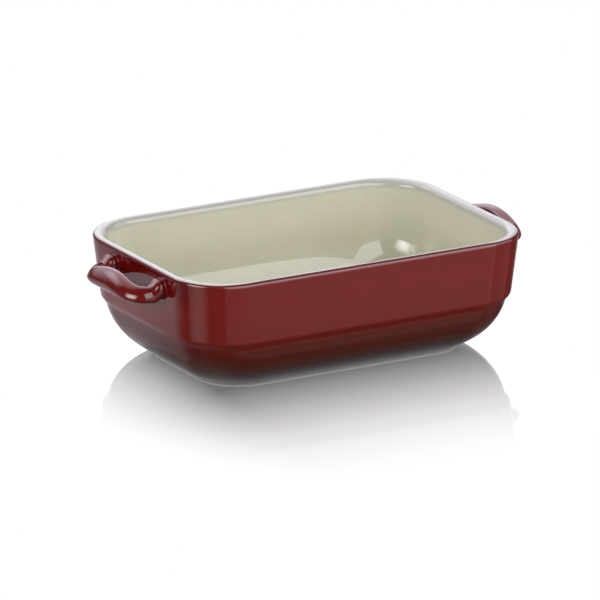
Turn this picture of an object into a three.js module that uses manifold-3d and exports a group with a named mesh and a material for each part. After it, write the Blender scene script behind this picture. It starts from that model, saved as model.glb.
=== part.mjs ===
// A rectangular stoneware baking dish with two loop handles, in millimetres, +Z up, standing on z = 0.
// X runs along the length, and the handles are at the two short ends.
import * as THREE from "three";
import { mergeVertices } from "three/addons/utils/BufferGeometryUtils.js";
import Module from "manifold-3d";

const wasm = await Module();
wasm.setup();

// Vessel, measured over the glaze
const BODY_LENGTH = 258.6;
const BODY_WIDTH = 177.4;
const HEIGHT = 81;
const CORNER_RADIUS = 39; // plan radius of the four corners at the rim
const CORNER_TIGHTENING = 0.3; // plan radius lost for each millimetre of inset from the rim outline
const RIM_THICKNESS = 7;
const RIM_OUTER_RADIUS = 2.6;
const RIM_INNER_RADIUS = 4.2;
const WALL_LEAN = THREE.MathUtils.degToRad(5.6);

// Ledge where the straight wall steps in to the lower bowl
const LEDGE_TOP = 38; // height of the ledge's upper edge
const LEDGE_DEPTH = 2.7; // how far the wall steps in
const LEDGE_DROP = 4.2; // height of the slanted step
const LEDGE_EDGE = 1.6; // length of wall and step that each rounded edge takes up

// Lower bowl and foot
const BOWL_STEEPNESS = 19; // length of the bowl's pull down from the ledge
const BOWL_START_LEAN = THREE.MathUtils.degToRad(13);
const BOWL_FLATNESS = 9.2; // length of its pull outwards at the foot
const BOWL_END_LEAN = THREE.MathUtils.degToRad(25);
const FOOT_INSET = 31.4; // from the rim outline to the edge of the foot
const FOOT_BARE_HEIGHT = 1.4; // unglazed strip under the outer coat
const FOOT_SETBACK = 0.5; // foot face inside the coat's lower edge
const FOOT_CHAMFER = 0.6;
const FOOT_WIDTH = 6;
const UNDERSIDE_RECESS = 3; // height of the bare underside inside the foot ring
const RECESS_SLOPE = 1.2; // width of the slope between the foot and the recess

// Inside
const FLOOR_TOP = 9.5; // height of the glazed floor
const FLOOR_INSET = 46; // from the rim outline to the edge of the flat floor
const INNER_BEND_TOP = 45; // height where the inner wall starts to curve to the floor
const BEND_PULL = 0.55; // share of the bend's height and width that its curve handles take

// Coats and joints
const GLAZE = 0.6;
const BOND = 0.2; // gap between a coat and the clay under it
const COAT_MEETING_GAP = 0.3; // between the cream and the red coat, which meet on top of the rim
const CUT_CLEARANCE = 0.3; // round a handle root where it passes through the red coat
const SEAT_GAP = 0.2; // between slip and what it joins
const SLIP_STAND_OUT = 0.2; // slip pad beyond the face of the red coat

// Handles, measured over the glaze
const GRIP_DROP = 9.7; // from the rim down to the middle of the arched grip
const ELBOW_DROP = 15.1; // from the rim down to the lowest stretch, at the loop's two elbows
const ROOT_DROP = 12.2; // from the rim down to the middle of each root
const UNDERSIDE_DROP = 21.5; // from the rim down to the loop's level underside
const HANDLE_SPAN = 65; // between the root centres
const HANDLE_REACH = 24.8; // from the rim outline to the outermost edge of the grip
const ARCH_SQUARENESS = 3.6; // 2 is an ellipse in plan, more is squarer
const SECTION_SQUARENESS = 2.2; // of the grip's inner side and underside
const ROOT_SQUARENESS = 2.5;
const RIDGE_SQUARENESS = 1.6; // less is a sharper ridge along the grip's top
const CREASE_SQUARENESS = 1.35; // less is a sharper crease along the outer edge
const CREASE_DROP = 3.9; // of the crease below the middle of the arched grip
const ELBOW_CREASE_DROP = 2.6; // the same at the elbows
const RIDGE_SHIFT = 1.1; // of the grip's top towards the dish
const BOTTOM_SHIFT = 4.5; // of its underside towards the dish
const INNER_EDGE_RISE = 0.9; // of the grip's inner edge above its middle
const GRIP_WIDTH = 12.2;
const GRIP_RISE = 4.9; // from the middle of the grip up to its ridge
const ROOT_WIDTH = 15.5;
const ROOT_RISE = 6.5; // from the middle of a root up to its top
const ROOT_FALL = 7.3; // and down to its bottom
const ROOT_HOLD = 2.5; // length of a root at its full size
const ROOT_LENGTH = 6.5; // over which it then narrows to the arm
const ROOT_FILLET = 0.4;

// Facets
const CORNER_SEGMENTS = 6;
const CURVE_FACET = 8; // longest facet along a curve of the section
const LEAST_CURVE_SEGMENTS = 3;
const SAME_POINT = 0.05; // closer points of a section are one
const ARCH_STEP = THREE.MathUtils.degToRad(15);
const ROOT_STATIONS = [0.08, 0.2, 0.4, 0.6, 0.8, 1]; // shares of the root's length that get a section
const SECTION_SIDES = 16; // a multiple of 4

const CLAY_DEPTH = GLAZE + BOND; // clay surface below the glazed surface

const RED_GLAZE = { color: 0x6e2420, roughness: 0.16, metalness: 0 };
const CREAM_GLAZE = { color: 0xe0dac4, roughness: 0.2, metalness: 0 };
const CLAY = { color: 0xb7aa9b, roughness: 0.85, metalness: 0 };

// Distance of the outer wall inside the rim outline at height z, above the ledge
function wallInset(z) {
  const arcEndInset = RIM_OUTER_RADIUS * (1 - Math.cos(WALL_LEAN));
  const arcEndHeight = HEIGHT - RIM_OUTER_RADIUS * (1 + Math.sin(WALL_LEAN));
  return arcEndInset + (arcEndHeight - z) * Math.tan(WALL_LEAN);
}

// The glazed section, as a path in (inset, z), from the foot up the outside and over the rim's outer edge.
// It stops short of the top of the rim by gap.
function outsidePath(gap) {
  const path = new THREE.Path();
  const edge = new THREE.Vector2(wallInset(LEDGE_TOP), LEDGE_TOP);
  const shelf = new THREE.Vector2(edge.x + LEDGE_DEPTH, LEDGE_TOP - LEDGE_DROP);
  const down = new THREE.Vector2(LEDGE_DEPTH, -LEDGE_DROP).normalize();
  const bowlStart = shelf.clone();
  bowlStart.x += LEDGE_EDGE * Math.sin(BOWL_START_LEAN);
  bowlStart.y -= LEDGE_EDGE * Math.cos(BOWL_START_LEAN);
  const shelfEnd = shelf.clone().addScaledVector(down, -LEDGE_EDGE);
  const edgeEnd = edge.clone().addScaledVector(down, LEDGE_EDGE);
  path.moveTo(FOOT_INSET, FOOT_BARE_HEIGHT);
  path.bezierCurveTo(
    FOOT_INSET - BOWL_FLATNESS * Math.cos(BOWL_END_LEAN),
    FOOT_BARE_HEIGHT + BOWL_FLATNESS * Math.sin(BOWL_END_LEAN),
    bowlStart.x + BOWL_STEEPNESS * Math.sin(BOWL_START_LEAN),
    bowlStart.y - BOWL_STEEPNESS * Math.cos(BOWL_START_LEAN),
    bowlStart.x,
    bowlStart.y,
  );
  path.quadraticCurveTo(shelf.x, shelf.y, shelfEnd.x, shelfEnd.y);
  path.lineTo(edgeEnd.x, edgeEnd.y);
  path.quadraticCurveTo(edge.x, edge.y, wallInset(edge.y + LEDGE_EDGE), edge.y + LEDGE_EDGE);
  const arcEnd = Math.PI / 2 + gap / RIM_OUTER_RADIUS;
  path.absarc(
    RIM_OUTER_RADIUS, HEIGHT - RIM_OUTER_RADIUS, RIM_OUTER_RADIUS, Math.PI + WALL_LEAN, arcEnd, true,
  );
  return path;
}

// The rest of the glazed section: from the top of the rim down the inside to the edge of the flat floor
function insidePath() {
  const path = new THREE.Path();
  const innerFace = (z) => RIM_THICKNESS + wallInset(z);
  const bendInset = innerFace(INNER_BEND_TOP);
  const bendDepth = BEND_PULL * (INNER_BEND_TOP - FLOOR_TOP);
  path.moveTo(RIM_OUTER_RADIUS, HEIGHT);
  path.absarc(
    RIM_THICKNESS - RIM_INNER_RADIUS, HEIGHT - RIM_INNER_RADIUS, RIM_INNER_RADIUS,
    Math.PI / 2, -WALL_LEAN, true,
  );
  path.lineTo(bendInset, INNER_BEND_TOP);
  path.bezierCurveTo(
    bendInset + bendDepth * Math.tan(WALL_LEAN),
    INNER_BEND_TOP - bendDepth,
    FLOOR_INSET - BEND_PULL * (FLOOR_INSET - bendInset),
    FLOOR_TOP,
    FLOOR_INSET,
    FLOOR_TOP,
  );
  return path;
}

// Points of a path without repeats, each one with the inset that sets its corner radius
function sectionOf(path) {
  const points = path.curves.flatMap((curve) => {
    const enough = Math.ceil(curve.getLength() / CURVE_FACET);
    return curve.getPoints(curve.isLineCurve ? 1 : Math.max(enough, LEAST_CURVE_SEGMENTS));
  });
  const apart = points.filter((p, i) => i === 0 || p.distanceTo(points[i - 1]) > SAME_POINT);
  return apart.map((p) => ({ inset: p.x, z: p.y, form: p.x }));
}

// The section moved into the clay by depth, square to itself; its corners stay concentric
function sunk(section, depth) {
  return section.map((p, i) => {
    const before = section[Math.max(i - 1, 0)];
    const after = section[Math.min(i + 1, section.length - 1)];
    const along = new THREE.Vector2(after.inset - before.inset, after.z - before.z).normalize();
    return { inset: p.inset + along.y * depth, z: p.z - along.x * depth, form: p.form };
  });
}

// One horizontal rounded rectangle of a section point, counter-clockwise seen from above
function ringOf({ inset, z, form }) {
  const x = BODY_LENGTH / 2 - inset;
  const y = BODY_WIDTH / 2 - inset;
  const radius = CORNER_RADIUS - CORNER_TIGHTENING * form - (inset - form);
  const corners = [[1, 1], [-1, 1], [-1, -1], [1, -1]];
  return corners.flatMap(([signX, signY], quarter) => {
    const points = [];
    for (let i = 0; i <= CORNER_SEGMENTS; i++) {
      const angle = (quarter + i / CORNER_SEGMENTS) * (Math.PI / 2);
      points.push(new THREE.Vector3(
        signX * (x - radius) + radius * Math.cos(angle),
        signY * (y - radius) + radius * Math.sin(angle),
        z,
      ));
    }
    return points;
  });
}

// A closed solid through rings of equally many points, either joined end to end or capped at both ends
function loft(rings, closed) {
  const count = rings[0].length;
  const vertices = rings.flat();
  const faces = [];
  const bands = closed ? rings.length : rings.length - 1;
  for (let band = 0; band < bands; band++) {
    const low = band * count;
    const high = ((band + 1) % rings.length) * count;
    for (let i = 0; i < count; i++) {
      const next = (i + 1) % count;
      faces.push(low + i, low + next, high + next, low + i, high + next, high + i);
    }
  }
  if (!closed) {
    const cap = (ring, start, order) => {
      const middle = new THREE.Vector3();
      ring.forEach((p) => middle.add(p));
      vertices.push(middle.divideScalar(count));
      const hub = vertices.length - 1;
      for (let i = 0; i < count; i++) {
        const edge = [start + i, start + ((i + 1) % count)];
        faces.push(hub, edge[order], edge[1 - order]);
      }
    };
    cap(rings[0], 0, 1);
    cap(rings.at(-1), (rings.length - 1) * count, 0);
  }
  const geometry = new THREE.BufferGeometry().setFromPoints(vertices);
  geometry.setIndex(faces);
  return geometry;
}

function solidOf(geometry) {
  const bare = geometry.clone();
  bare.deleteAttribute("normal");
  bare.deleteAttribute("uv");
  const merged = mergeVertices(bare);
  return new wasm.Manifold(new wasm.Mesh({
    numProp: 3,
    vertProperties: merged.attributes.position.array,
    triVerts: new Uint32Array(merged.index.array),
  }));
}

function geometryOf(solid) {
  const mesh = solid.getMesh();
  const geometry = new THREE.BufferGeometry();
  geometry.setAttribute("position", new THREE.BufferAttribute(mesh.vertProperties, mesh.numProp));
  geometry.setIndex(new THREE.BufferAttribute(mesh.triVerts, 1));
  return geometry;
}

const outside = sectionOf(outsidePath(0));
const inside = sectionOf(insidePath());
const glazed = [...outside, ...inside.slice(1)];
const coatBack = sunk(glazed, GLAZE);
const clayFace = sunk(glazed, CLAY_DEPTH);

// Clay vessel: underside, foot ring, outer face, rim, inner face and floor
function bodyGeometry() {
  const footOuter = FOOT_INSET + FOOT_SETBACK;
  const footInner = footOuter + FOOT_CHAMFER + FOOT_WIDTH;
  const foot = [
    [footInner + RECESS_SLOPE, UNDERSIDE_RECESS],
    [footInner, 0],
    [footOuter + FOOT_CHAMFER, 0],
    [footOuter, FOOT_CHAMFER],
    [footOuter, FOOT_BARE_HEIGHT],
  ].map(([inset, z]) => ({ inset, z, form: inset }));
  return loft([...foot, ...clayFace].map(ringOf), false);
}

// Cream coat from the top of the rim to the floor
function innerGlazeGeometry() {
  const face = glazed.slice(outside.length - 1);
  const back = coatBack.slice(outside.length - 1);
  return loft([...back.reverse(), ...face].map(ringOf), false);
}

// Red coat, kept off the cream one, with openings where the handle roots reach the clay
function outerGlazeGeometry() {
  const face = sectionOf(outsidePath(COAT_MEETING_GAP));
  const back = sunk(face, GLAZE);
  let coat = solidOf(loft([...face, ...back.reverse()].map(ringOf), true));
  const cutFrom = -CLAY_DEPTH - CUT_CLEARANCE;
  for (const side of [-1, 1]) {
    for (const end of [-1, 1]) {
      const plug = rootPlug(side, end, cutFrom, CUT_CLEARANCE, CUT_CLEARANCE);
      coat = coat.subtract(solidOf(plug));
    }
  }
  return geometryOf(coat);
}

// Coat on the underside, inside the foot ring
function undersideGlazeGeometry() {
  const inset = FOOT_INSET + FOOT_SETBACK + FOOT_CHAMFER + FOOT_WIDTH + RECESS_SLOPE + GLAZE;
  const bottom = UNDERSIDE_RECESS - BOND - GLAZE;
  const rings = [bottom, bottom + GLAZE].map((z) => ringOf({ inset, z, form: inset }));
  return loft(rings, false);
}

const rootHeight = HEIGHT - ROOT_DROP;
const undersideHeight = HEIGHT - UNDERSIDE_DROP;
const wallFaceX = (z) => BODY_LENGTH / 2 - wallInset(z);
const gripMiddleX = BODY_LENGTH / 2 + HANDLE_REACH - GRIP_WIDTH / 2;
const archDepth = gripMiddleX - wallFaceX(rootHeight);
const signedPower = (value, power) => Math.sign(value) * Math.abs(value) ** power;

// Widening of a section at a distance from the wall, where the loop flares into it
function flare(distance) {
  const rest = Math.max(ROOT_FILLET - distance, 0);
  return ROOT_FILLET - Math.sqrt(ROOT_FILLET ** 2 - rest ** 2);
}

// One point of a loop's section, in (outwards, up) from its middle. The section has four extremes: the
// crease on its outer edge, the ridge on top, the inner edge and the bottom.
function sectionSpot(angle, halfWidth, rise, fall, grip, creaseDrop) {
  const [cos, sin] = [Math.cos(angle), Math.sin(angle)];
  const outer = cos >= 0;
  const upper = sin >= 0;
  const shift = -(upper ? RIDGE_SHIFT : BOTTOM_SHIFT) * grip;
  const edge = outer ? -creaseDrop : INNER_EDGE_RISE * grip;
  const tall = upper ? rise - edge : fall + edge;
  const wide = outer ? halfWidth - shift : halfWidth + shift;
  const leaf = outer && upper;
  const ridge = THREE.MathUtils.lerp(ROOT_SQUARENESS, leaf ? RIDGE_SQUARENESS : SECTION_SQUARENESS, grip);
  const crease = THREE.MathUtils.lerp(ROOT_SQUARENESS, leaf ? CREASE_SQUARENESS : SECTION_SQUARENESS, grip);
  return new THREE.Vector2(
    shift + signedPower(cos, 2 / ridge) * wide,
    edge + signedPower(sin, 2 / crease) * tall,
  );
}

// One cross-section of a loop at an angle along its arch, sunk below the glazed surface by depth
function loopSection(angle, depth, flared) {
  const along = signedPower(Math.cos(angle), 2 / ARCH_SQUARENESS);
  const out = signedPower(Math.sin(angle), 2 / ARCH_SQUARENESS);
  const distance = archDepth * out;
  const grip = THREE.MathUtils.smoothstep(out, 0, 1);
  const rooted = 1 - THREE.MathUtils.smoothstep(distance, ROOT_HOLD, ROOT_HOLD + ROOT_LENGTH);
  const arched = (1 - along ** 2) ** 2;
  const height = HEIGHT - ELBOW_DROP + (ELBOW_DROP - GRIP_DROP) * arched + (ELBOW_DROP - ROOT_DROP) * rooted;
  const across = new THREE.Vector2(
    out ** (ARCH_SQUARENESS - 1) / archDepth,
    signedPower(along, ARCH_SQUARENESS - 1) / (HANDLE_SPAN / 2),
  ).normalize();
  const extra = (flared ? flare(distance) : 0) - depth;
  const halfWidth = THREE.MathUtils.lerp(GRIP_WIDTH, ROOT_WIDTH, rooted) / 2 + extra;
  const rise = THREE.MathUtils.lerp(GRIP_RISE, ROOT_RISE, rooted) + extra;
  const fall = THREE.MathUtils.lerp(height - undersideHeight, ROOT_FALL, rooted) + extra;
  const creaseDrop = THREE.MathUtils.lerp(ELBOW_CREASE_DROP, CREASE_DROP, arched) * (1 - rooted);
  const points = [];
  for (let i = 0; i < SECTION_SIDES; i++) {
    const turn = (i / SECTION_SIDES) * 2 * Math.PI;
    const spot = sectionSpot(turn, halfWidth, rise, fall, grip, creaseDrop);
    const lean = rooted * Math.tan(WALL_LEAN) * (height + spot.y - rootHeight);
    points.push(new THREE.Vector3(
      wallFaceX(rootHeight) + distance + across.x * spot.x + lean,
      (HANDLE_SPAN / 2) * along + across.y * spot.x,
      height + spot.y,
    ));
  }
  return points;
}

// Angle along the arch at a distance from the wall
const archAngle = (distance) => Math.asin((distance / archDepth) ** (ARCH_SQUARENESS / 2));

// Sections from one root to the other, the first one standing off the wall by start
function loopRings(start, depth) {
  const stations = ROOT_STATIONS.map((share) => share * (ROOT_HOLD + ROOT_LENGTH));
  const near = [start, ...stations].map(archAngle);
  const angles = [...near];
  const first = near.at(-1);
  const turn = Math.PI - 2 * first;
  const steps = Math.ceil(turn / ARCH_STEP);
  for (let i = 1; i < steps; i++) {
    angles.push(first + (turn * i) / steps);
  }
  angles.push(...near.map((angle) => Math.PI - angle).reverse());
  return angles.map((angle) => loopSection(angle, depth, true));
}

// Turns a loop made for the +X end to the end it belongs to
function placed(geometry, side) {
  return side > 0 ? geometry : geometry.rotateZ(Math.PI);
}

// Where the loop's clay starts, beyond the face of the red coat
const slipFace = SLIP_STAND_OUT + SEAT_GAP;

function handleGeometry(side) {
  return placed(loft(loopRings(slipFace, CLAY_DEPTH), false), side);
}

// Coat on a loop: a flared skin from root to root, open at both ends
function handleGlazeGeometry(side) {
  const face = loopRings(SEAT_GAP, 0);
  const back = loopRings(SEAT_GAP, GLAZE);
  return placed(loft([...face, ...back.reverse()], true), side);
}

// A straight plug of the loop's root section, between two distances from the face of the red coat
function rootPlug(side, end, from, to, clearance) {
  const root = loopSection(end > 0 ? 0 : Math.PI, CLAY_DEPTH - clearance, false);
  const rings = [from, to].map((distance) => root.map((p) => p.clone().setX(p.x + distance)));
  return placed(loft(end > 0 ? rings : rings.reverse(), false), side);
}

function slipJointGeometry(side, end) {
  return rootPlug(side, end, SEAT_GAP - CLAY_DEPTH, SLIP_STAND_OUT, 0);
}

const dish = new THREE.Group();

function addPiece(name, geometry, finish) {
  const mesh = new THREE.Mesh(geometry, new THREE.MeshStandardMaterial(finish));
  mesh.name = name;
  dish.add(mesh);
}

addPiece("stoneware_body", bodyGeometry(), CLAY);
addPiece("outer_glaze", outerGlazeGeometry(), RED_GLAZE);
addPiece("inner_glaze", innerGlazeGeometry(), CREAM_GLAZE);
addPiece("underside_glaze", undersideGlazeGeometry(), RED_GLAZE);
for (const [name, side] of [["left", -1], ["right", 1]]) {
  addPiece(`${name}_handle`, handleGeometry(side), CLAY);
  addPiece(`${name}_handle_glaze`, handleGlazeGeometry(side), RED_GLAZE);
  for (const [place, end] of [["front", -1], ["rear", 1]]) {
    addPiece(`${name}_${place}_slip_joint`, slipJointGeometry(side, side * end), CLAY);
  }
}

export default dish;
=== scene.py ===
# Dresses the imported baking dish: smooth glaze coats, bare foot, loop handles, floor, light and camera.
# Everything is in metres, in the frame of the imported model. X runs along the dish's length.
import math

import bmesh
import bpy
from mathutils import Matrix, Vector, noise


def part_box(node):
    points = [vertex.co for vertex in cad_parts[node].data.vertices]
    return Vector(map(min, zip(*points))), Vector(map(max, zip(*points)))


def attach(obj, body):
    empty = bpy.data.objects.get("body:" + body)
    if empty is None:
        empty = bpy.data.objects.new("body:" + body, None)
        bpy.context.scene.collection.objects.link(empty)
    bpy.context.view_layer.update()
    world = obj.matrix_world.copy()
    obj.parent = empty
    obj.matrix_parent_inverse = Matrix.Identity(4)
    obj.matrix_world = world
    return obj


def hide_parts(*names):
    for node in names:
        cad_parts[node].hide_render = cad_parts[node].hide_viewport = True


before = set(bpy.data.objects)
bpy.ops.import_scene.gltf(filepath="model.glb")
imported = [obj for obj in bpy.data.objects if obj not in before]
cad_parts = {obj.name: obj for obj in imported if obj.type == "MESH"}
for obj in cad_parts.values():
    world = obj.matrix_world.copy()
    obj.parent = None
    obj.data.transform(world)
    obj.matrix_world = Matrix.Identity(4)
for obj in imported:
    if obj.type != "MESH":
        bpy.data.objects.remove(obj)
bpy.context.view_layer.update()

MM = 0.001

# Vessel, over the glaze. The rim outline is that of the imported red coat, the height that of the cream one.
outline_low, outline_high = (Vector(corner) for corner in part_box("outer_glaze"))
BODY_LENGTH = outline_high.x - outline_low.x
BODY_WIDTH = outline_high.y - outline_low.y
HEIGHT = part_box("inner_glaze")[1][2]
CORNER_RADIUS = 39 * MM
CORNER_TIGHTENING = 0.3  # plan radius lost for each metre of inset from the rim outline
RIM_THICKNESS = 7 * MM
RIM_OUTER_RADIUS = 2.6 * MM
RIM_INNER_RADIUS = 4.2 * MM
WALL_LEAN = math.radians(5.6)

# Ledge where the straight wall steps in to the lower bowl
LEDGE_TOP = 38 * MM
LEDGE_DEPTH = 2.7 * MM
LEDGE_DROP = 4.2 * MM
LEDGE_EDGE = 1.6 * MM

# Lower bowl and foot
BOWL_STEEPNESS = 19 * MM
BOWL_START_LEAN = math.radians(13)
BOWL_FLATNESS = 9.2 * MM
BOWL_END_LEAN = math.radians(25)
FOOT_INSET = 31.4 * MM
FOOT_BARE_HEIGHT = 1.4 * MM
FOOT_SETBACK = 0.5 * MM
FOOT_ROUNDING = 0.6 * MM
FOOT_WIDTH = 6 * MM
UNDERSIDE_RECESS = 3 * MM
RECESS_SLOPE = 1.2 * MM

# Inside
FLOOR_TOP = 9.5 * MM
FLOOR_INSET = 46 * MM
INNER_BEND_TOP = 45 * MM
BEND_PULL = 0.55

# Coats
GLAZE = 0.6 * MM
CLAY_DEPTH = 0.8 * MM
MEETING_GAP = math.radians(3)  # between the red and the cream coat, along the rim's outer arc
MEETING_ON_SIDES = math.radians(4)  # how far below the top of that arc the coats meet on the long sides
MEETING_AT_ENDS = math.radians(42)
END_START = 84 * MM  # from the middle of the dish to where the meeting starts to sink
END_FULL = 118 * MM
GLAZE_UNEVENNESS = 0.07 * MM
GLAZE_WAVE = 34 * MM

# Handles, over the glaze. Drops are below the rim; elbows are the low bends between grip and roots.
GRIP_DROP = 9.7 * MM
ELBOW_DROP = 15.1 * MM
ROOT_DROP = 12.2 * MM
UNDERSIDE_DROP = 21.5 * MM
HANDLE_SPAN = 65 * MM
HANDLE_REACH = 24.8 * MM
ARCH_SQUARENESS = 3.6  # seen from above; 2 is an ellipse and more is squarer
SECTION_SQUARENESS = 2.2  # of the grip, apart from its ridge and crease
ROOT_SQUARENESS = 2.5
RIDGE_SQUARENESS = 1.6  # less is a sharper ridge along the grip's top
CREASE_SQUARENESS = 1.35  # less is a sharper crease along the outer edge
CREASE_DROP = 3.9 * MM  # of the crease below the middle of the arched grip
ELBOW_CREASE_DROP = 2.6 * MM  # the same at the elbows
RIDGE_SHIFT = 1.1 * MM
BOTTOM_SHIFT = 4.5 * MM
INNER_EDGE_RISE = 0.9 * MM
GRIP_WIDTH = 12.2 * MM
GRIP_RISE = 4.9 * MM
ROOT_WIDTH = 15.5 * MM
ROOT_RISE = 6.5 * MM
ROOT_FALL = 7.3 * MM
ROOT_HOLD = 2.5 * MM  # length of a root at its full size
ROOT_LENGTH = 6.5 * MM  # over which it then narrows to the arm
ROOT_FILLET = 0.4 * MM
ROOT_SINK = 0.2 * MM  # how far the handle's coat runs into the wall's

# Fineness of the meshes
CURVE_STEPS = 18
CORNER_STEPS = 20
LONG_SIDE_STEPS = 30
SHORT_SIDE_STEPS = 18
WALL_STEPS = 12
LIP_STEPS = 4
SECTION_SIDES = 48
ARCH_STEPS = 60
ROOT_STEPS = 20
MEETING_STEPS = 8
SHARP_ANGLE = math.radians(50)

# Colours are linear light. Stops are a height above the table and the colour there.
CLAY_PALE = (0.50, 0.46, 0.40)
CLAY_DARK = (0.31, 0.30, 0.285)
CLAY_STOPS = [(0, CLAY_DARK), (HEIGHT, CLAY_PALE)]
# Painted reflection and painted light: near the foot the red is a neutral grey that stands in for the pale
# floor mirrored there. At the ledge, 34 to 37 mm, it is lighter, painted light where the shelf lies in
# shade. Down the lower bowl it darkens, and at its top edge it turns dark.
RED_STOPS = [
    (2 * MM, (0.120, 0.108, 0.112)),
    (6 * MM, (0.120, 0.108, 0.112)),
    (9 * MM, (0.070, 0.036, 0.032)),
    (14 * MM, (0.090, 0.020, 0.010)),
    (24 * MM, (0.118, 0.014, 0.005)),
    (31 * MM, (0.105, 0.011, 0.004)),
    (34 * MM, (0.200, 0.013, 0.007)),
    (37 * MM, (0.220, 0.014, 0.009)),
    (42 * MM, (0.180, 0.013, 0.009)),
    (58 * MM, (0.215, 0.013, 0.010)),
    (78.8 * MM, (0.215, 0.013, 0.010)),
    (80.6 * MM, (0.080, 0.004, 0.003)),
]
# At the rim the cream turns greyer and darker; the greying is a painted reflection of the pale studio.
CREAM_STOPS = [
    (9 * MM, (0.51, 0.495, 0.355)),
    (50 * MM, (0.59, 0.57, 0.435)),
    (75 * MM, (0.60, 0.58, 0.455)),
    (78 * MM, (0.45, 0.44, 0.395)),
]
UNDERSIDE_STOPS = [
    (1.4 * MM, (0.40, 0.35, 0.27)),
    (3.4 * MM, (0.52, 0.47, 0.38)),
]

# Painted shade: the red is darkened, most in green and blue, on the handles and on the wall above them,
# standing in for the handles' dark reflection in the wall and the shade around them
PAINTED_SHADE_FROM_MIDDLE = (118 * MM, 129 * MM)  # along the length, where it starts and where it is complete
PAINTED_SHADE_HEIGHT = (58 * MM, 68 * MM)
PAINTED_SHADE_TINT = (0.66, 0.28, 0.28)

# Glaze. Sizes are those of the features of its noise, wanders how far its colour borders move up and down.
GLAZE_IOR = 1.7
BORDER_SIZE = 30 * MM
CLOUD_SIZE = 14 * MM
CLOUD_SHADE = 0.96
SPECK_SIZE = 1.1 * MM
SPECK_SHADE = 0.97
GLOSS_SIZE = 9 * MM
PEEL_SIZE = 3.5 * MM
PEEL_DEPTH = 0.006 * MM
NOISE_SPREAD = (0.3, 0.7)  # between which most of the noise lies
RED_WANDER = 0.3 * MM
RED_ROUGHNESS = (0.03, 0.05)
CREAM_WANDER = 0.5 * MM
CREAM_ROUGHNESS = (0.03, 0.06)
UNDERSIDE_WANDER = 1 * MM
UNDERSIDE_ROUGHNESS = (0.15, 0.25)

# Bare clay
CLAY_BORDER_SIZE = 12 * MM
CLAY_WANDER = 2 * MM
GRAIN_SIZE = 0.5 * MM
GRAIN_DETAIL = 6
GRAIN_SPREAD = (0.2, 0.8)
GRAIN_SHADE = 0.75
GRAIN_DEPTH = 0.08 * MM
CLAY_ROUGHNESS = (0.75, 0.95)

# Camera, from the photograph: a long lens far away, 600 pixels across
PHOTO_SIDE = 600
FOCAL_PIXELS = 8980
SENSOR = 36
CAMERA_AZIMUTH = math.radians(-29.7)
CAMERA_ELEVATION = math.radians(17.09)
CAMERA_DISTANCE = 6
AIM_RIGHT = -3.925 * MM
AIM_HEIGHT = 32.2 * MM

# Stage. Sides of the foot: axis, distance from the middle, and direction outwards.
FOOT_SIDES = (
    ("X", BODY_LENGTH / 2 - FOOT_INSET, -1),
    ("X", BODY_LENGTH / 2 - FOOT_INSET, 1),
    ("Y", BODY_WIDTH / 2 - FOOT_INSET, -1),
    ("Y", BODY_WIDTH / 2 - FOOT_INSET, 1),
)
STAGE_HALF = 3
WHITE = (1, 1, 1, 1)

# White floor. Paces say how fast its polish fades from each of the sides of the foot, in the order above.
POLISH_REACH = 205 * MM
POLISH_FALLOFF = 1.55
POLISH_PACES = (1.9, 4.2, 1, 3)
MIRROR_SHARE = 0.88
FLOOR_ROUGHNESS = 0.06

# Grey table, hidden from the camera, painted with shade for the dish to mirror: dark in front of the dish
# and pale behind it, and darker again far from the foot
TABLE_DROP = 0.5 * MM
TABLE_NEAR = 0  # across the table, where it starts to get paler
TABLE_FAR = 120 * MM
TABLE_DARK = 0.08
TABLE_PALE = 0.76
TABLE_REACH = 250 * MM
TABLE_FALLOFF = 1
TABLE_PACES = (1, 1, 1, 1)
TABLE_LEAST = 0.35  # share of its shade that is left at that reach
TABLE_ROUGHNESS = 0.1
TABLE_IOR = 1.4
GLOW = 0.22  # light of the pale floor around the foot, as the dish mirrors it
GLOW_REACH = 34 * MM
GLOW_FALLOFF = 2
GLOW_PACES = (0.6, 0.6, 1, 1)

# Lights
STUDIO_FILL = 0.09  # brightness of the studio around them
LIGHT_DISTANCE = 1.5
PLAIN_LIGHT = (1, 1, 1)
KEY_LIGHT = (1, 1, 1.02)
BACKDROP_LIGHT = (0.98, 0.96, 1.05)
COOL_LIGHT = (0.97, 0.95, 1.06)


def spaced(start, end, steps):
    return [start + (end - start) * step / steps for step in range(steps + 1)]


def mix(a, b, share):
    return a + (b - a) * share


def clamped(value, low, high):
    return min(max(value, low), high)


def smooth(share):
    return share * share * (3 - 2 * share)


def signed_power(value, power):
    return math.copysign(abs(value) ** power, value)


def bezier(*controls):
    """Points on a Bezier curve in the section plane."""
    degree = len(controls) - 1
    points = []
    for share in spaced(0, 1, CURVE_STEPS):
        point = Vector((0, 0))
        for i, control in enumerate(controls):
            weight = math.comb(degree, i) * (1 - share) ** (degree - i) * share**i
            point += weight * Vector(control)
        points.append(point)
    return points


def arc(centre, radius, start, end):
    """Points on an arc in the section plane."""
    return [
        Vector(centre) + radius * Vector((math.cos(angle), math.sin(angle)))
        for angle in spaced(start, end, CURVE_STEPS)
    ]


def line(start, end):
    return [Vector(start).lerp(Vector(end), share) for share in spaced(0, 1, WALL_STEPS)]


def wall_inset(z):
    """Distance of the outer wall inside the rim outline at height z, above the ledge."""
    arc_end_inset = RIM_OUTER_RADIUS * (1 - math.cos(WALL_LEAN))
    arc_end_height = HEIGHT - RIM_OUTER_RADIUS * (1 + math.sin(WALL_LEAN))
    return arc_end_inset + (arc_end_height - z) * math.tan(WALL_LEAN)


def joined(*stretches):
    """One list of section points, without the repeats where two stretches meet."""
    points = list(stretches[0])
    for stretch in stretches[1:]:
        points.extend(stretch[1:])
    return points


def rim_arc(start, end):
    """Points of the rim's outer arc between two angles below its top."""
    centre = (RIM_OUTER_RADIUS, HEIGHT - RIM_OUTER_RADIUS)
    return arc(centre, RIM_OUTER_RADIUS, math.pi / 2 + start, math.pi / 2 + end)


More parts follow.
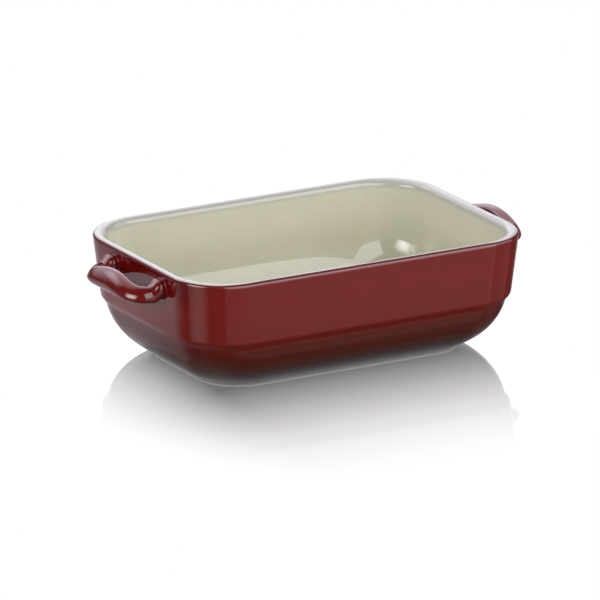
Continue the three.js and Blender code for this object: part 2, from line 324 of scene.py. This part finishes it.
def outside_section(meeting):
    """The glazed section as (inset, z), from the foot up to the angle of the rim's outer arc given."""
    edge = Vector((wall_inset(LEDGE_TOP), LEDGE_TOP))
    shelf = edge + Vector((LEDGE_DEPTH, -LEDGE_DROP))
    down = Vector((LEDGE_DEPTH, -LEDGE_DROP)).normalized()
    bowl_down = Vector((math.sin(BOWL_START_LEAN), -math.cos(BOWL_START_LEAN)))
    bowl_out = Vector((-math.cos(BOWL_END_LEAN), math.sin(BOWL_END_LEAN)))
    foot = Vector((FOOT_INSET, FOOT_BARE_HEIGHT))
    bowl_start = shelf + LEDGE_EDGE * bowl_down
    wall_start = Vector((wall_inset(LEDGE_TOP + LEDGE_EDGE), LEDGE_TOP + LEDGE_EDGE))
    rim = rim_arc(math.pi / 2 + WALL_LEAN, meeting)
    return joined(
        bezier(foot, foot + BOWL_FLATNESS * bowl_out, bowl_start + BOWL_STEEPNESS * bowl_down, bowl_start),
        bezier(bowl_start, shelf, shelf - LEDGE_EDGE * down),
        [shelf - LEDGE_EDGE * down, edge + LEDGE_EDGE * down],
        bezier(edge + LEDGE_EDGE * down, edge, wall_start),
        line(wall_start, rim[0]),
        rim,
    )


def inside_section():
    """The rest of the glazed section, from the top of the rim down to the edge of the flat floor."""
    inner_centre = (RIM_THICKNESS - RIM_INNER_RADIUS, HEIGHT - RIM_INNER_RADIUS)
    inner_arc = arc(inner_centre, RIM_INNER_RADIUS, math.pi / 2, -WALL_LEAN)
    bend = Vector((RIM_THICKNESS + wall_inset(INNER_BEND_TOP), INNER_BEND_TOP))
    floor = Vector((FLOOR_INSET, FLOOR_TOP))
    fall = BEND_PULL * (INNER_BEND_TOP - FLOOR_TOP)
    reach = BEND_PULL * (FLOOR_INSET - bend.x)
    bend_end = bend + fall * Vector((math.tan(WALL_LEAN), -1))
    return joined(
        [Vector((RIM_OUTER_RADIUS, HEIGHT)), inner_arc[0]],
        inner_arc,
        line(inner_arc[-1], bend),
        bezier(bend, bend_end, floor - Vector((reach, 0)), floor),
    )


def with_form(section):
    """Section points as (inset, z, form), where form is the inset that sets the corner radius."""
    return [Vector((point.x, point.y, point.x)) for point in section]


def sunk(section, depth):
    """The section moved into the clay, square to itself. Its corners stay concentric."""
    moved = []
    for i, point in enumerate(section):
        before = section[max(i - 1, 0)]
        after = section[min(i + 1, len(section) - 1)]
        along = (after - before).xy.normalized()
        moved.append(point + depth * Vector((along.y, -along.x, 0)))
    return moved


def lip(front, back, along):
    """Points of a rounded edge from a coat's front to its back; along points out past the edge."""
    middle = (front + back) / 2
    half = (front - back) / 2
    out = Vector((*along.xy.normalized(), 0)) * half.length
    points = []
    for angle in spaced(0, math.pi, LIP_STEPS)[1:-1]:
        points.append(middle + half * math.cos(angle) + out * math.sin(angle))
    return points


def ring(point):
    """The horizontal rounded rectangle of a section point, counter-clockwise seen from above."""
    inset, z, form = point
    radius = CORNER_RADIUS - CORNER_TIGHTENING * form - (inset - form)
    middle_x = BODY_LENGTH / 2 - inset - radius
    middle_y = BODY_WIDTH / 2 - inset - radius
    points = []
    for quarter, (sign_x, sign_y) in enumerate(((1, 1), (-1, 1), (-1, -1), (1, -1))):
        centre = Vector((sign_x * middle_x, sign_y * middle_y, z))
        angles = spaced(quarter * math.pi / 2, (quarter + 1) * math.pi / 2, CORNER_STEPS)
        for angle in angles:
            points.append(centre + radius * Vector((math.cos(angle), math.sin(angle), 0)))
        corner_end = points[-1]
        run = 2 * (middle_y if quarter % 2 else middle_x)
        steps = SHORT_SIDE_STEPS if quarter % 2 else LONG_SIDE_STEPS
        heading = angles[-1] + math.pi / 2
        side = Vector((math.cos(heading), math.sin(heading), 0))
        points.extend(corner_end + side * distance for distance in spaced(0, run, steps)[1:-1])
    return points


def loft(name, rings, closed):
    """A mesh object through rings of equally many points, joined end to end or capped at both ends."""
    count = len(rings[0])
    vertices = [point for one_ring in rings for point in one_ring]
    bands = len(rings) if closed else len(rings) - 1
    faces = []
    for band in range(bands):
        low = band * count
        high = (band + 1) % len(rings) * count
        for i in range(count):
            after = (i + 1) % count
            faces.append((low + i, low + after, high + after, high + i))
    if not closed:
        faces.append(tuple(range(count)))
        faces.append(tuple(range(len(vertices) - count, len(vertices))))
    mesh = bpy.data.meshes.new(name)
    mesh.from_pydata(vertices, [], faces)
    shape = bmesh.new()
    shape.from_mesh(mesh)
    bmesh.ops.recalc_face_normals(shape, faces=shape.faces)
    shape.to_mesh(mesh)
    shape.free()
    mesh.shade_smooth()
    mesh.set_sharp_from_angle(angle=SHARP_ANGLE)
    piece = bpy.data.objects.new(name, mesh)
    bpy.context.scene.collection.objects.link(piece)
    return piece


def make_uneven(piece):
    """Moves a coat's surface in and out a little, as fired glaze runs."""
    mesh = piece.data
    moves = [
        vertex.normal * GLAZE_UNEVENNESS * noise.noise(vertex.co / GLAZE_WAVE)
        for vertex in mesh.vertices
    ]
    for vertex, move in zip(mesh.vertices, moves):
        vertex.co += move


def end_share(point):
    """0 beside the dish's long sides, 1 at its ends."""
    share = (abs(point.x) - END_START) / (END_FULL - END_START)
    return smooth(clamped(share, 0, 1))


def rings_with_meeting(section_at):
    """Rings of a section whose coats meet lower at the ends of the dish than on its long sides."""
    meetings = spaced(MEETING_ON_SIDES, MEETING_AT_ENDS, MEETING_STEPS)
    choices = [[ring(point) for point in section_at(meeting)] for meeting in meetings]
    shares = [end_share(point) for point in ring(Vector((0, HEIGHT, 0)))]
    rings = []
    for same_level in zip(*choices):
        points = []
        for i, share in enumerate(shares):
            step = min(int(share * MEETING_STEPS), MEETING_STEPS - 1)
            points.append(same_level[step][i].lerp(same_level[step + 1][i], share * MEETING_STEPS - step))
        rings.append(points)
    return rings


def red_section(meeting):
    """The red coat's closed section from the foot to the cream one, with rounded edges."""
    front = with_form(outside_section(meeting + MEETING_GAP))
    back = sunk(front, GLAZE)
    upper_lip = lip(front[-1], back[-1], front[-1] - front[-2])
    lower_lip = lip(back[0], front[0], front[0] - front[1])
    return front + upper_lip + back[::-1] + lower_lip


def cream_section(meeting):
    """The cream coat's section from the red one over the rim to the floor, back first."""
    front = with_form(joined(rim_arc(meeting, 0), inside_section()))
    back = sunk(front, GLAZE)
    lower_lip = lip(back[0], front[0], front[0] - front[1])
    return back[::-1] + lower_lip + front


def red_coat():
    return loft("red_outer_glaze", rings_with_meeting(red_section), True)


def cream_coat():
    return loft("cream_inner_glaze", rings_with_meeting(cream_section), False)


foot_outer = FOOT_INSET + FOOT_SETBACK
foot_inner = foot_outer + 2 * FOOT_ROUNDING + FOOT_WIDTH


def stoneware():
    """The clay under the coats, with its bare foot ring."""
    outer_round = arc(
        (foot_outer + FOOT_ROUNDING, FOOT_ROUNDING), FOOT_ROUNDING, 1.5 * math.pi, math.pi,
    )
    inner_round = arc(
        (foot_inner - FOOT_ROUNDING, FOOT_ROUNDING), FOOT_ROUNDING, 2 * math.pi, 1.5 * math.pi,
    )
    recess = Vector((foot_inner + RECESS_SLOPE, UNDERSIDE_RECESS))
    foot = [recess, *inner_round, *outer_round, Vector((foot_outer, FOOT_BARE_HEIGHT))]
    clay_face = sunk(with_form(joined(outside_section(0), inside_section())), CLAY_DEPTH)
    return loft("stoneware_vessel", [ring(point) for point in with_form(foot) + clay_face], False)


def underside_coat():
    """The coat inside the foot ring, with a rounded edge."""
    edge = foot_inner + RECESS_SLOPE + GLAZE
    top = UNDERSIDE_RECESS - (CLAY_DEPTH - GLAZE)
    upper = Vector((edge, top, edge))
    lower = Vector((edge, top - GLAZE, edge))
    section = [upper, *lip(upper, lower, Vector((-1, 0, 0))), lower]
    return loft("underside_glaze_coat", [ring(point) for point in section], False)


root_height = HEIGHT - ROOT_DROP
underside_height = HEIGHT - UNDERSIDE_DROP
wall_face = BODY_LENGTH / 2 - wall_inset(root_height)
grip_middle = BODY_LENGTH / 2 + HANDLE_REACH - GRIP_WIDTH / 2
arch_depth = grip_middle - wall_face


def flare(distance):
    """Widening of a handle's section at a distance from the wall, where it runs out into it."""
    rest = clamped(ROOT_FILLET - distance, 0, ROOT_FILLET)
    return ROOT_FILLET - math.sqrt(ROOT_FILLET**2 - rest**2)


def section_spot(angle, half_width, rise, fall, grip, crease_drop):
    """One point of a handle's section, as (outwards, up) from its middle.

    The section has four extremes: the crease on its outer edge, the ridge on top, the inner edge and the
    bottom. The grip share is 0 at the roots and 1 on the grip.
    """
    cos, sin = math.cos(angle), math.sin(angle)
    outer = cos >= 0
    upper = sin >= 0
    shift = -(RIDGE_SHIFT if upper else BOTTOM_SHIFT) * grip
    edge = -crease_drop if outer else INNER_EDGE_RISE * grip
    wide = half_width - shift if outer else half_width + shift
    tall = rise - edge if upper else fall + edge
    leaf = outer and upper
    ridge = mix(ROOT_SQUARENESS, RIDGE_SQUARENESS if leaf else SECTION_SQUARENESS, grip)
    crease = mix(ROOT_SQUARENESS, CREASE_SQUARENESS if leaf else SECTION_SQUARENESS, grip)
    return Vector((
        shift + signed_power(cos, 2 / ridge) * wide,
        edge + signed_power(sin, 2 / crease) * tall,
    ))


def loop_section(angle, depth, sink=0):
    """One cross-section of the +X handle at an angle along its arch, sunk below the glaze by depth."""
    along = signed_power(math.cos(angle), 2 / ARCH_SQUARENESS)
    out = signed_power(math.sin(angle), 2 / ARCH_SQUARENESS)
    distance = arch_depth * out - sink
    rooted = 1 - smooth(clamped((distance - ROOT_HOLD) / ROOT_LENGTH, 0, 1))
    arched = (1 - along**2) ** 2
    height = HEIGHT - ELBOW_DROP + (ELBOW_DROP - GRIP_DROP) * arched + (ELBOW_DROP - ROOT_DROP) * rooted
    across = Vector((
        out ** (ARCH_SQUARENESS - 1) / arch_depth,
        signed_power(along, ARCH_SQUARENESS - 1) / (HANDLE_SPAN / 2),
    )).normalized()
    grip = smooth(out)
    extra = flare(distance) - depth
    half_width = mix(GRIP_WIDTH, ROOT_WIDTH, rooted) / 2 + extra
    rise = mix(GRIP_RISE, ROOT_RISE, rooted) + extra
    fall = mix(height - underside_height, ROOT_FALL, rooted) + extra
    crease_drop = mix(ELBOW_CREASE_DROP, CREASE_DROP, arched) * (1 - rooted)
    points = []
    for turn in spaced(0, 2 * math.pi, SECTION_SIDES)[:-1]:
        spot = section_spot(turn, half_width, rise, fall, grip, crease_drop)
        lean = rooted * math.tan(WALL_LEAN) * (height + spot.y - root_height)
        points.append(Vector((
            wall_face + distance + across.x * spot.x + lean,
            HANDLE_SPAN / 2 * along + across.y * spot.x,
            height + spot.y,
        )))
    return points


def arch_angle(distance):
    """Angle along the arch at a distance from the wall."""
    return math.asin((distance / arch_depth) ** (ARCH_SQUARENESS / 2))


def arch_angles():
    """Angles along the arch, close together near both roots."""
    root_end = ROOT_HOLD + ROOT_LENGTH
    near = [arch_angle(root_end * share**2) for share in spaced(0, 1, ROOT_STEPS)]
    far = [math.pi - angle for angle in reversed(near)]
    return near + spaced(near[-1], far[0], ARCH_STEPS)[1:-1] + far


def loop_rings(depth):
    """Cross-sections from root to root, with one more at each end that sinks into the wall's coat."""
    angles = arch_angles()
    rings = [loop_section(angle, depth) for angle in angles]
    first = loop_section(angles[0], depth, ROOT_SINK)
    last = loop_section(angles[-1], depth, ROOT_SINK)
    return [first, *rings, last]


def handle_coat(name, side):
    """The red coat on one loop handle: a skin that runs out into the wall at both roots."""
    rings = loop_rings(0) + loop_rings(GLAZE)[::-1]
    turned = [
        [Vector((side * point.x, side * point.y, point.z)) for point in one_ring] for one_ring in rings
    ]
    return loft(name, turned, True)


def new_material(name):
    """A material with its node tree, its shader and the object coordinates."""
    material = bpy.data.materials.new(name)
    material.use_nodes = True
    tree = material.node_tree
    place = tree.nodes.new("ShaderNodeTexCoord").outputs["Object"]
    return material, tree, tree.nodes["Principled BSDF"], place


def feed(tree, socket, value):
    """Links a socket to another node's output, or sets it where the value is a number or colour."""
    if isinstance(value, bpy.types.NodeSocket):
        tree.links.new(value, socket)
    else:
        socket.default_value = value


def axes(tree, place):
    """The X, Y and Z of a place, by name."""
    split = tree.nodes.new("ShaderNodeSeparateXYZ")
    tree.links.new(place, split.inputs["Vector"])
    return split.outputs


def add_noise(tree, place, size, detail=2):
    """Noise from 0 to 1 whose features are about size metres across."""
    node = tree.nodes.new("ShaderNodeTexNoise")
    node.inputs["Scale"].default_value = 1 / size
    node.inputs["Detail"].default_value = detail
    tree.links.new(place, node.inputs["Vector"])
    return node.outputs["Fac"]


def remap(tree, value, from_range, to_range):
    node = tree.nodes.new("ShaderNodeMapRange")
    for name, number in zip(("From Min", "From Max", "To Min", "To Max"), (*from_range, *to_range)):
        node.inputs[name].default_value = number
    tree.links.new(value, node.inputs["Value"])
    return node.outputs["Result"]


def add_math(tree, operation, a, b=0):
    node = tree.nodes.new("ShaderNodeMath")
    node.operation = operation
    feed(tree, node.inputs[0], a)
    feed(tree, node.inputs[1], b)
    return node.outputs["Value"]


def multiplied(tree, colour, share, by):
    """The colour multiplied by a value or another colour, as far as the share says."""
    node = tree.nodes.new("ShaderNodeMix")
    node.data_type = "RGBA"
    node.blend_type = "MULTIPLY"
    feed(tree, node.inputs["Factor"], share)
    feed(tree, node.inputs["A"], colour)
    feed(tree, node.inputs["B"], by)
    return node.outputs["Result"]


def height_colours(tree, place, stops, wander, wander_size):
    """Colour by height above the table, whose borders wander up and down a little."""
    drift = remap(tree, add_noise(tree, place, wander_size), (0, 1), (-wander, wander))
    height = add_math(tree, "ADD", axes(tree, place)["Z"], drift)
    ramp = tree.nodes.new("ShaderNodeValToRGB")
    ramp.color_ramp.interpolation = "B_SPLINE"
    marks = ramp.color_ramp.elements
    while len(marks) < len(stops):
        marks.new(0.5)
    for mark, (level, colour) in zip(marks, stops):
        mark.position = level / HEIGHT
        mark.color = (*colour, 1)
    tree.links.new(remap(tree, height, (0, HEIGHT), (0, 1)), ramp.inputs["Fac"])
    return ramp.outputs["Color"]


def shaded(tree, colour, value, least):
    """The colour darkened down to a share of itself where the noise value is low."""
    return multiplied(tree, colour, 1, remap(tree, value, NOISE_SPREAD, (least, 1)))


def painted_shade_at_ends(tree, place, colour):
    """The colour darkened as painted shade, on the handles and between them and the rim."""
    where = axes(tree, place)
    endwards = remap(tree, add_math(tree, "ABSOLUTE", where["X"]), PAINTED_SHADE_FROM_MIDDLE, (0, 1))
    upwards = remap(tree, where["Z"], PAINTED_SHADE_HEIGHT, (0, 1))
    return multiplied(tree, colour, add_math(tree, "MULTIPLY", endwards, upwards), (*PAINTED_SHADE_TINT, 1))


def add_bump(tree, shader, height, depth):
    node = tree.nodes.new("ShaderNodeBump")
    node.inputs["Distance"].default_value = depth
    tree.links.new(height, node.inputs["Height"])
    tree.links.new(node.outputs["Normal"], shader.inputs["Normal"])


def glaze(name, stops, wander, roughness, painted_end_shade=False):
    """A fired glossy glaze: colour by height, painted shade at the ends where asked, clouding, slight orange
    peel and uneven gloss.
    """
    material, tree, shader, place = new_material(name)
    colour = height_colours(tree, place, stops, wander, BORDER_SIZE)
    # painted shade on the handles and the wall above them
    if painted_end_shade:
        colour = painted_shade_at_ends(tree, place, colour)
    colour = shaded(tree, colour, add_noise(tree, place, CLOUD_SIZE), CLOUD_SHADE)
    colour = shaded(tree, colour, add_noise(tree, place, SPECK_SIZE), SPECK_SHADE)
    tree.links.new(colour, shader.inputs["Base Color"])
    gloss = remap(tree, add_noise(tree, place, GLOSS_SIZE), NOISE_SPREAD, roughness)
    tree.links.new(gloss, shader.inputs["Roughness"])
    shader.inputs["IOR"].default_value = GLAZE_IOR
    add_bump(tree, shader, add_noise(tree, place, PEEL_SIZE), PEEL_DEPTH)
    return material


def bare_clay(name):
    """Unglazed fired stoneware: sandy grain, paler upwards, fully matt."""
    material, tree, shader, place = new_material(name)
    colour = height_colours(tree, place, CLAY_STOPS, CLAY_WANDER, CLAY_BORDER_SIZE)
    grain = add_noise(tree, place, GRAIN_SIZE, GRAIN_DETAIL)
    colour = shaded(tree, colour, grain, GRAIN_SHADE)
    tree.links.new(colour, shader.inputs["Base Color"])
    tree.links.new(remap(tree, grain, GRAIN_SPREAD, CLAY_ROUGHNESS), shader.inputs["Roughness"])
    add_bump(tree, shader, grain, GRAIN_DEPTH)
    return material


def dress(piece, material, slot, *nodes):
    """Gives a piece its material, hangs it under the root body and hides the CAD nodes it stands for."""
    piece.data.materials.append(material)
    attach(piece, "root")
    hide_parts(*nodes)


def direction(azimuth, elevation):
    """Unit vector; azimuth 0 is towards -Y and grows towards +X."""
    flat = math.cos(elevation)
    return Vector((math.sin(azimuth) * flat, -math.cos(azimuth) * flat, math.sin(elevation)))


def add_camera():
    data = bpy.data.cameras.new("camera")
    data.sensor_width = SENSOR
    data.lens = SENSOR * FOCAL_PIXELS / PHOTO_SIDE
    camera = bpy.data.objects.new("camera", data)
    back = direction(CAMERA_AZIMUTH, CAMERA_ELEVATION)
    right = Vector((math.cos(CAMERA_AZIMUTH), math.sin(CAMERA_AZIMUTH), 0))
    aim = right * AIM_RIGHT + Vector((0, 0, AIM_HEIGHT))
    camera.location = aim + back * CAMERA_DISTANCE
    camera.rotation_euler = back.to_track_quat("Z", "Y").to_euler()
    bpy.context.scene.collection.objects.link(camera)
    bpy.context.scene.camera = camera


def fade_to_edges(light):
    """Makes a light's strength fall off from 1 in its middle to 0 at its edges."""
    light.use_nodes = True
    tree = light.node_tree
    spot = axes(tree, tree.nodes.new("ShaderNodeNewGeometry").outputs["Parametric"])
    strength = 1
    for axis in ("X", "Y"):
        rest = add_math(tree, "SUBTRACT", 1, spot[axis])
        share = add_math(tree, "MULTIPLY", spot[axis], rest)
        share = add_math(tree, "MULTIPLY", share, 4)  # it is a quarter in the middle
        strength = add_math(tree, "MULTIPLY", share, strength)
    tree.links.new(strength, tree.nodes["Emission"].inputs["Strength"])


def add_softbox(name, azimuth, elevation, width, height, radiance, tint, fading=False):
    """A rectangular studio light that faces the dish, hidden from the camera.

    Angles are in degrees. A fading light is brightest in its middle and dark at its edges.
    """
    data = bpy.data.lights.new(name, "AREA")
    data.shape = "RECTANGLE"
    data.size = width
    data.size_y = height
    data.energy = radiance * width * height * math.pi
    data.color = tint
    if fading:
        fade_to_edges(data)
    light = bpy.data.objects.new(name, data)
    towards = direction(math.radians(azimuth), math.radians(elevation))
    light.location = Vector((0, 0, HEIGHT / 2)) + towards * LIGHT_DISTANCE
    light.rotation_euler = towards.to_track_quat("Z", "Y").to_euler()
    light.visible_camera = False
    bpy.context.scene.collection.objects.link(light)


def add_plane(name, level):
    """A square stage surface, wider than the camera sees."""
    mesh = bpy.data.meshes.new(name)
    signs = ((-1, -1), (1, -1), (1, 1), (-1, 1))
    corners = [(sign_x * STAGE_HALF, sign_y * STAGE_HALF, level) for sign_x, sign_y in signs]
    mesh.from_pydata(corners, [], [(0, 1, 2, 3)])
    plane = bpy.data.objects.new(name, mesh)
    bpy.context.scene.collection.objects.link(plane)
    return plane


def fade_from_foot(tree, place, reach, falloff, paces):
    """A value that falls from 1 at the foot to 0 at the reach from it.

    The paces say how fast it falls from each of the foot's sides; 1 is the plain reach.
    """
    where = axes(tree, place)
    total = 0
    for (axis, half, sign), pace in zip(FOOT_SIDES, paces):
        outwards = add_math(tree, "MULTIPLY", where[axis], sign)
        past = add_math(tree, "MAXIMUM", add_math(tree, "SUBTRACT", outwards, half))
        past = add_math(tree, "MULTIPLY", past, pace)
        total = add_math(tree, "ADD", add_math(tree, "MULTIPLY", past, past), total)
    distance = add_math(tree, "SQRT", total)
    return add_math(tree, "POWER", remap(tree, distance, (0, reach), (1, 0)), falloff)


def add_floor():
    """The white floor that the camera sees, polished close to the dish so that it mirrors the foot."""
    floor = add_plane("floor", 0)
    floor.visible_diffuse = False
    floor.visible_glossy = False
    floor.visible_shadow = False
    material, tree, shader, place = new_material("white_floor")
    fade = fade_from_foot(tree, place, POLISH_REACH, POLISH_FALLOFF, POLISH_PACES)
    polish = add_math(tree, "MULTIPLY", fade, MIRROR_SHARE)
    gloss = tree.nodes.new("ShaderNodeBsdfGlossy")
    gloss.inputs["Roughness"].default_value = FLOOR_ROUGHNESS
    gloss.inputs["Color"].default_value = WHITE
    glow = tree.nodes.new("ShaderNodeEmission")
    blend = tree.nodes.new("ShaderNodeMixShader")
    tree.links.new(polish, blend.inputs["Fac"])
    tree.links.new(glow.outputs["Emission"], blend.inputs[1])
    tree.links.new(gloss.outputs["BSDF"], blend.inputs[2])
    tree.links.new(blend.outputs["Shader"], tree.nodes["Material Output"].inputs["Surface"])
    tree.nodes.remove(shader)
    floor.data.materials.append(material)


def add_table():
    """The grey studio table that the dish stands over and mirrors, hidden from the camera; its colour is
    painted shade.
    """
    table = add_plane("table", -TABLE_DROP)
    table.visible_camera = False
    material, tree, shader, place = new_material("grey_table")
    # painted shade: dark in front of the dish, pale behind it, darker again far from the foot
    shade = remap(tree, axes(tree, place)["Y"], (TABLE_NEAR, TABLE_FAR), (TABLE_DARK, TABLE_PALE))
    near = fade_from_foot(tree, place, TABLE_REACH, TABLE_FALLOFF, TABLE_PACES)
    shade = add_math(tree, "MULTIPLY", shade, remap(tree, near, (0, 1), (TABLE_LEAST, 1)))
    tree.links.new(shade, shader.inputs["Base Color"])
    glow = fade_from_foot(tree, place, GLOW_REACH, GLOW_FALLOFF, GLOW_PACES)
    tree.links.new(add_math(tree, "MULTIPLY", glow, GLOW), shader.inputs["Emission Strength"])
    shader.inputs["Emission Color"].default_value = WHITE
    shader.inputs["Roughness"].default_value = TABLE_ROUGHNESS
    shader.inputs["IOR"].default_value = TABLE_IOR
    table.data.materials.append(material)


def add_world():
    """A dim studio around the lights."""
    world = bpy.data.worlds.new("studio")
    world.use_nodes = True
    bpy.context.scene.world = world
    background = world.node_tree.nodes["Background"]
    background.inputs["Color"].default_value = WHITE
    background.inputs["Strength"].default_value = STUDIO_FILL


red_glaze = glaze("red_glaze", RED_STOPS, RED_WANDER, RED_ROUGHNESS, painted_end_shade=True)
cream_glaze = glaze("cream_glaze", CREAM_STOPS, CREAM_WANDER, CREAM_ROUGHNESS)
underside_glaze = glaze("underside_glaze", UNDERSIDE_STOPS, UNDERSIDE_WANDER, UNDERSIDE_ROUGHNESS)
clay = bare_clay("bare_stoneware")

red = red_coat()
make_uneven(red)
dress(red, red_glaze, "red_glaze", "outer_glaze")
cream = cream_coat()
make_uneven(cream)
dress(cream, cream_glaze, "cream_glaze", "inner_glaze")
dress(stoneware(), clay, "bare_stoneware", "stoneware_body")
dress(underside_coat(), underside_glaze, "underside_glaze", "underside_glaze")
for end, side in (("left", -1), ("right", 1)):
    coat = handle_coat(end + "_loop_glaze", side)
    make_uneven(coat)
    dress(coat, red_glaze, "red_glaze", end + "_handle_glaze")

for node_name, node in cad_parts.items():
    if node_name.endswith(("_handle", "_slip_joint")):
        node.data.materials.clear()
        node.data.materials.append(clay)

add_camera()
add_floor()
add_table()
add_world()
add_softbox(
    "key_light", azimuth=10, elevation=28, width=2.1, height=1.4, radiance=2.5, tint=KEY_LIGHT,
)
add_softbox(
    "right_light", azimuth=68, elevation=28, width=1.2, height=1.4, radiance=1.1, tint=PLAIN_LIGHT,
)
add_softbox(
    "backdrop_light", azimuth=150, elevation=19, width=1.3, height=1.0, radiance=0.8, tint=BACKDROP_LIGHT,
)
add_softbox(
    "left_light", azimuth=-84, elevation=18, width=1.15, height=0.9, radiance=7.0, tint=PLAIN_LIGHT,
    fading=True,
)
add_softbox(
    "back_light", azimuth=-180, elevation=42, width=2.8, height=2.4, radiance=2.0, tint=COOL_LIGHT,
    fading=True,
)
add_softbox(
    "rear_left_light", azimuth=-143, elevation=33, width=1.0, height=0.75, radiance=1.95, tint=COOL_LIGHT,
    fading=True,
)
bpy.context.scene.view_settings.view_transform = "Standard"
